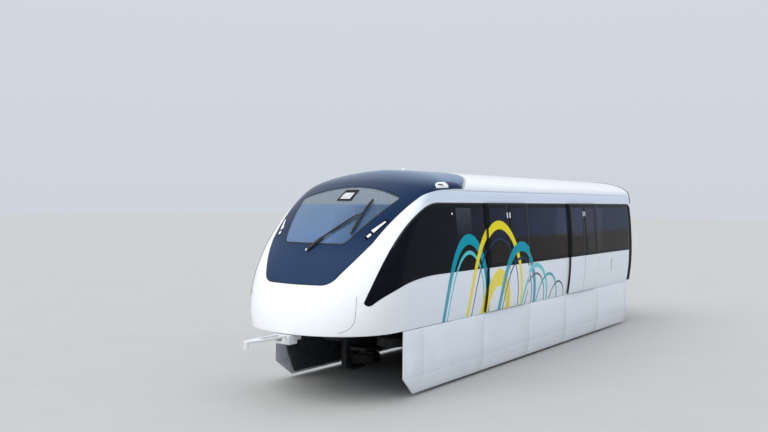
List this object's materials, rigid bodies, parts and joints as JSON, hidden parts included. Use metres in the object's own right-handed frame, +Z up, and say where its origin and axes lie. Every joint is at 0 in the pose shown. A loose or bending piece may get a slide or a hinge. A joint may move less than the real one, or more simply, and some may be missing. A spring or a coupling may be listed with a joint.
{
  "type": "straddle-beam monorail end car",
  "caption": "End car of a straddle monorail with a rounded nose, dark front mask, outside-hung double doors, side skirts and bogies that ride astride a beam.",
  "frame": {"origin": "on the floor under the middle of the car, halfway between the coupler tip and the rear coupling plane", "axes": "+X forward along the car, +Y to the car's left side, +Z up"},
  "size_m": [14.18, 3.2224, 4.111],
  "materials": {
    "white_paint": "gloss white coach paint",
    "navy_gloss": "glossy dark navy",
    "tinted_glass": "dark tinted glass",
    "clear_glass": "pale blue laminated glass",
    "lamp_lens": "clear white lens",
    "black_rubber": "black rubber and plastic",
    "tyre": "black tyre on a grey wheel",
    "bellows": "dark folded bellows cloth",
    "steel": "grey painted steel",
    "frame_paint": "dark grey frame paint",
    "trim": "pale grey interior trim",
    "seat": "blue seat shells on grey housings"
  },
  "bodies": {
    "body": {"underframe": "frame_paint", "nose_shell": "white_paint", "front_mask": "navy_gloss", "windscreen": "clear_glass", "wiper": "black_rubber", "roof_shell": "white_paint", "rear_end_wall": "trim", "gangway_bellows": "bellows", "front_coupler": "steel", "rear_drawbar": "steel", "ceiling_with_grab_rails": "trim", "driver_desk": "trim", "headlamp_left": "lamp_lens", "side_wall_left": "white_paint", "skirt_left": "white_paint", "window_front_left": "tinted_glass", "window_middle_left": "tinted_glass", "window_rear_left": "tinted_glass", "headlamp_right": "lamp_lens", "side_wall_right": "white_paint", "skirt_right": "white_paint", "window_front_right": "tinted_glass", "window_middle_right": "tinted_glass", "window_rear_right": "tinted_glass", "housing_with_seats_front": "seat", "housing_with_seats_rear": "seat"},
    "door_1a_left": {"door_1a_left": "white_paint", "door_1a_left_glass": "tinted_glass"},
    "door_1b_left": {"door_1b_left": "white_paint", "door_1b_left_glass": "tinted_glass"},
    "door_2a_left": {"door_2a_left": "white_paint", "door_2a_left_glass": "tinted_glass"},
    "door_2b_left": {"door_2b_left": "white_paint", "door_2b_left_glass": "tinted_glass"},
    "door_1a_right": {"door_1a_right": "white_paint", "door_1a_right_glass": "tinted_glass"},
    "door_1b_right": {"door_1b_right": "white_paint", "door_1b_right_glass": "tinted_glass"},
    "door_2a_right": {"door_2a_right": "white_paint", "door_2a_right_glass": "tinted_glass"},
    "door_2b_right": {"door_2b_right": "white_paint", "door_2b_right_glass": "tinted_glass"},
    "bogie_front": {"bogie_frame_front": "frame_paint", "traction_motor_front": "steel"},
    "load_wheels_front": {"load_wheels_front": "tyre"},
    "guide_wheel_front_left_lead": {"guide_wheel_front_left_lead": "tyre"},
    "guide_wheel_front_left_trail": {"guide_wheel_front_left_trail": "tyre"},
    "stabiliser_wheel_front_left": {"stabiliser_wheel_front_left": "tyre"},
    "guide_wheel_front_right_lead": {"guide_wheel_front_right_lead": "tyre"},
    "guide_wheel_front_right_trail": {"guide_wheel_front_right_trail": "tyre"},
    "stabiliser_wheel_front_right": {"stabiliser_wheel_front_right": "tyre"},
    "bogie_rear": {"bogie_frame_rear": "frame_paint", "traction_motor_rear": "steel"},
    "load_wheels_rear": {"load_wheels_rear": "tyre"},
    "guide_wheel_rear_left_lead": {"guide_wheel_rear_left_lead": "tyre"},
    "guide_wheel_rear_left_trail": {"guide_wheel_rear_left_trail": "tyre"},
    "stabiliser_wheel_rear_left": {"stabiliser_wheel_rear_left": "tyre"},
    "guide_wheel_rear_right_lead": {"guide_wheel_rear_right_lead": "tyre"},
    "guide_wheel_rear_right_trail": {"guide_wheel_rear_right_trail": "tyre"},
    "stabiliser_wheel_rear_right": {"stabiliser_wheel_rear_right": "tyre"}
  },
  "joints": [
    {"name": "door_1a_left_slide", "type": "slide", "parent": "body", "child": "door_1a_left", "axis": [1, 0, 0], "range_m": [0, 0.86]},
    {"name": "door_1b_left_slide", "type": "slide", "parent": "body", "child": "door_1b_left", "axis": [-1, 0, 0], "range_m": [0, 0.86]},
    {"name": "door_2a_left_slide", "type": "slide", "parent": "body", "child": "door_2a_left", "axis": [1, 0, 0], "range_m": [0, 0.86]},
    {"name": "door_2b_left_slide", "type": "slide", "parent": "body", "child": "door_2b_left", "axis": [-1, 0, 0], "range_m": [0, 0.86]},
    {"name": "door_1a_right_slide", "type": "slide", "parent": "body", "child": "door_1a_right", "axis": [1, 0, 0], "range_m": [0, 0.86]},
    {"name": "door_1b_right_slide", "type": "slide", "parent": "body", "child": "door_1b_right", "axis": [-1, 0, 0], "range_m": [0, 0.86]},
    {"name": "door_2a_right_slide", "type": "slide", "parent": "body", "child": "door_2a_right", "axis": [1, 0, 0], "range_m": [0, 0.86]},
    {"name": "door_2b_right_slide", "type": "slide", "parent": "body", "child": "door_2b_right", "axis": [-1, 0, 0], "range_m": [0, 0.86]},
    {"name": "bogie_front_yaw", "type": "hinge", "parent": "body", "child": "bogie_front", "pos_m": [2.99, 0, 1.3], "axis": [0, 0, 1], "range_deg": [-4, 4]},
    {"name": "load_wheels_front_spin", "type": "hinge", "parent": "bogie_front", "child": "load_wheels_front", "pos_m": [2.99, 0, 1.6], "axis": [0, 1, 0], "continuous": true},
    {"name": "guide_wheel_front_left_lead_spin", "type": "hinge", "parent": "bogie_front", "child": "guide_wheel_front_left_lead", "pos_m": [3.89, 0.645, 0.85], "axis": [0, 0, 1], "continuous": true},
    {"name": "guide_wheel_front_left_trail_spin", "type": "hinge", "parent": "bogie_front", "child": "guide_wheel_front_left_trail", "pos_m": [2.09, 0.645, 0.85], "axis": [0, 0, 1], "continuous": true},
    {"name": "stabiliser_wheel_front_left_spin", "type": "hinge", "parent": "bogie_front", "child": "stabiliser_wheel_front_left", "pos_m": [2.99, 0.645, 0.26], "axis": [0, 0, 1], "continuous": true},
    {"name": "guide_wheel_front_right_lead_spin", "type": "hinge", "parent": "bogie_front", "child": "guide_wheel_front_right_lead", "pos_m": [3.89, -0.645, 0.85], "axis": [0, 0, 1], "continuous": true},
    {"name": "guide_wheel_front_right_trail_spin", "type": "hinge", "parent": "bogie_front", "child": "guide_wheel_front_right_trail", "pos_m": [2.09, -0.645, 0.85], "axis": [0, 0, 1], "continuous": true},
    {"name": "stabiliser_wheel_front_right_spin", "type": "hinge", "parent": "bogie_front", "child": "stabiliser_wheel_front_right", "pos_m": [2.99, -0.645, 0.26], "axis": [0, 0, 1], "continuous": true},
    {"name": "bogie_rear_yaw", "type": "hinge", "parent": "body", "child": "bogie_rear", "pos_m": [-5.41, 0, 1.3], "axis": [0, 0, 1], "range_deg": [-4, 4]},
    {"name": "load_wheels_rear_spin", "type": "hinge", "parent": "bogie_rear", "child": "load_wheels_rear", "pos_m": [-5.41, 0, 1.6], "axis": [0, 1, 0], "continuous": true},
    {"name": "guide_wheel_rear_left_lead_spin", "type": "hinge", "parent": "bogie_rear", "child": "guide_wheel_rear_left_lead", "pos_m": [-4.51, 0.645, 0.85], "axis": [0, 0, 1], "continuous": true},
    {"name": "guide_wheel_rear_left_trail_spin", "type": "hinge", "parent": "bogie_rear", "child": "guide_wheel_rear_left_trail", "pos_m": [-6.31, 0.645, 0.85], "axis": [0, 0, 1], "continuous": true},
    {"name": "stabiliser_wheel_rear_left_spin", "type": "hinge", "parent": "bogie_rear", "child": "stabiliser_wheel_rear_left", "pos_m": [-5.41, 0.645, 0.26], "axis": [0, 0, 1], "continuous": true},
    {"name": "guide_wheel_rear_right_lead_spin", "type": "hinge", "parent": "bogie_rear", "child": "guide_wheel_rear_right_lead", "pos_m": [-4.51, -0.645, 0.85], "axis": [0, 0, 1], "continuous": true},
    {"name": "guide_wheel_rear_right_trail_spin", "type": "hinge", "parent": "bogie_rear", "child": "guide_wheel_rear_right_trail", "pos_m": [-6.31, -0.645, 0.85], "axis": [0, 0, 1], "continuous": true},
    {"name": "stabiliser_wheel_rear_right_spin", "type": "hinge", "parent": "bogie_rear", "child": "stabiliser_wheel_rear_right", "pos_m": [-5.41, -0.645, 0.26], "axis": [0, 0, 1], "continuous": true}
  ],
  "couplings": [
    {"joint": "door_1b_left_slide", "follows": "door_1a_left_slide", "ratio": 1},
    {"joint": "door_2b_left_slide", "follows": "door_2a_left_slide", "ratio": 1},
    {"joint": "door_1b_right_slide", "follows": "door_1a_right_slide", "ratio": 1},
    {"joint": "door_2b_right_slide", "follows": "door_2a_right_slide", "ratio": 1}
  ]
}
